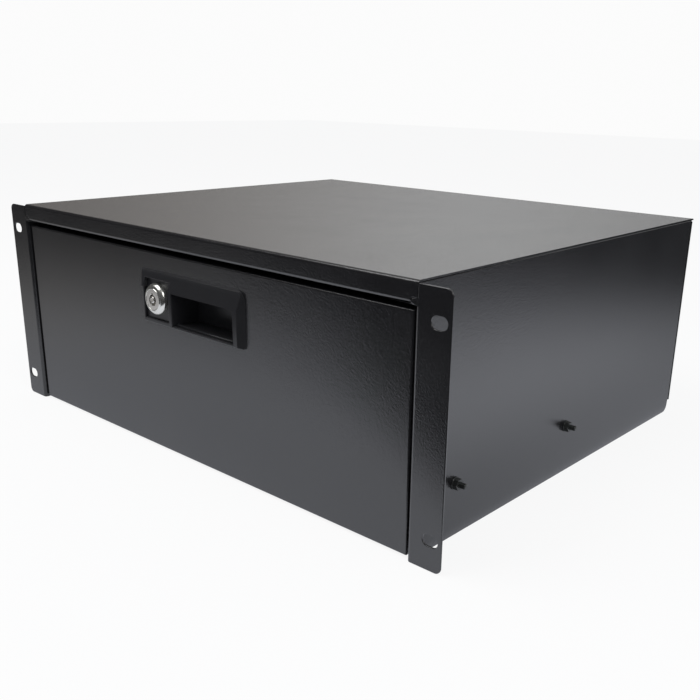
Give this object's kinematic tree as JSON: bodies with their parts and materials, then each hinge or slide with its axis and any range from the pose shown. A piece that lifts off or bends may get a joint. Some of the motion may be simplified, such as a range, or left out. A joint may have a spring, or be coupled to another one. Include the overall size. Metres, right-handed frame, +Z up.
{
  "type": "sliding rack drawer",
  "caption": "Lockable 4U rack drawer: folded steel housing with slotted rack ears, and a folded drawer with a recessed finger pull and cam lock, on full-extension ball-bearing slides.",
  "frame": {"origin": "centre of the four rack slots, on the front face of the ears", "axes": "+X to the right as seen from the front, +Y to the rear, +Z up"},
  "size_m": [0.4826, 0.3859, 0.1753],
  "materials": {
    "black_powder_coat": "satin fine-textured black powder coat",
    "zinc_steel": "bright zinc plate",
    "black_oxide": "black zinc",
    "ball_steel": "polished",
    "black_plastic": "fine-grained moulding",
    "chrome": "polished chrome",
    "satin_nickel": "satin nickel"
  },
  "bodies": {
    "housing": {"top_panel": "black_powder_coat", "right_side_panel": "black_powder_coat", "left_side_panel": "black_powder_coat", "rear_panel": "black_powder_coat", "rear_rivets": "black_powder_coat", "slide_screws": "black_oxide", "slide_washers": "black_oxide", "slide_nuts": "black_oxide", "right_outer_member": "zinc_steel", "left_outer_member": "zinc_steel"},
    "drawer": {"drawer_tray": "black_powder_coat", "drawer_front": "black_powder_coat", "front_screws": "zinc_steel", "handle_bezel": "black_plastic", "lock_barrel": "chrome", "lock_nut": "zinc_steel", "drawer_slide_screws": "zinc_steel", "right_inner_member": "zinc_steel", "left_inner_member": "zinc_steel", "right_release_lever": "black_plastic", "left_release_lever": "black_plastic"},
    "lock": {"lock_plug": "satin_nickel", "lock_cam": "zinc_steel", "cam_screw": "zinc_steel"},
    "right_middle": {"right_middle_member": "zinc_steel"},
    "left_middle": {"left_middle_member": "zinc_steel"},
    "right_outer_bearing": {"right_outer_cage": "zinc_steel", "right_outer_balls": "ball_steel"},
    "left_outer_bearing": {"left_outer_cage": "zinc_steel", "left_outer_balls": "ball_steel"},
    "right_inner_bearing": {"right_inner_cage": "zinc_steel", "right_inner_balls": "ball_steel"},
    "left_inner_bearing": {"left_inner_cage": "zinc_steel", "left_inner_balls": "ball_steel"}
  },
  "joints": [
    {"name": "drawer_slide", "type": "slide", "parent": "housing", "child": "drawer", "axis": [0, -1, 0], "range_m": [0, 0.35]},
    {"name": "lock_turn", "type": "hinge", "parent": "drawer", "child": "lock", "pos_m": [-0.0298, 0, 0.0365], "axis": [0, 1, 0], "range_deg": [0, 90]},
    {"name": "right_middle_slide", "type": "slide", "parent": "housing", "child": "right_middle", "axis": [0, -1, 0], "range_m": [0, 0.175]},
    {"name": "right_outer_bearing_slide", "type": "slide", "parent": "housing", "child": "right_outer_bearing", "axis": [0, -1, 0], "range_m": [0, 0.0875]},
    {"name": "right_inner_bearing_slide", "type": "slide", "parent": "housing", "child": "right_inner_bearing", "axis": [0, -1, 0], "range_m": [0, 0.2625]},
    {"name": "left_middle_slide", "type": "slide", "parent": "housing", "child": "left_middle", "axis": [0, -1, 0], "range_m": [0, 0.175]},
    {"name": "left_outer_bearing_slide", "type": "slide", "parent": "housing", "child": "left_outer_bearing", "axis": [0, -1, 0], "range_m": [0, 0.0875]},
    {"name": "left_inner_bearing_slide", "type": "slide", "parent": "housing", "child": "left_inner_bearing", "axis": [0, -1, 0], "range_m": [0, 0.2625]}
  ],
  "couplings": [
    {"joint": "right_middle_slide", "follows": "drawer_slide", "ratio": 0.5},
    {"joint": "right_outer_bearing_slide", "follows": "drawer_slide", "ratio": 0.25},
    {"joint": "right_inner_bearing_slide", "follows": "drawer_slide", "ratio": 0.75},
    {"joint": "left_middle_slide", "follows": "drawer_slide", "ratio": 0.5},
    {"joint": "left_outer_bearing_slide", "follows": "drawer_slide", "ratio": 0.25},
    {"joint": "left_inner_bearing_slide", "follows": "drawer_slide", "ratio": 0.75}
  ]
}
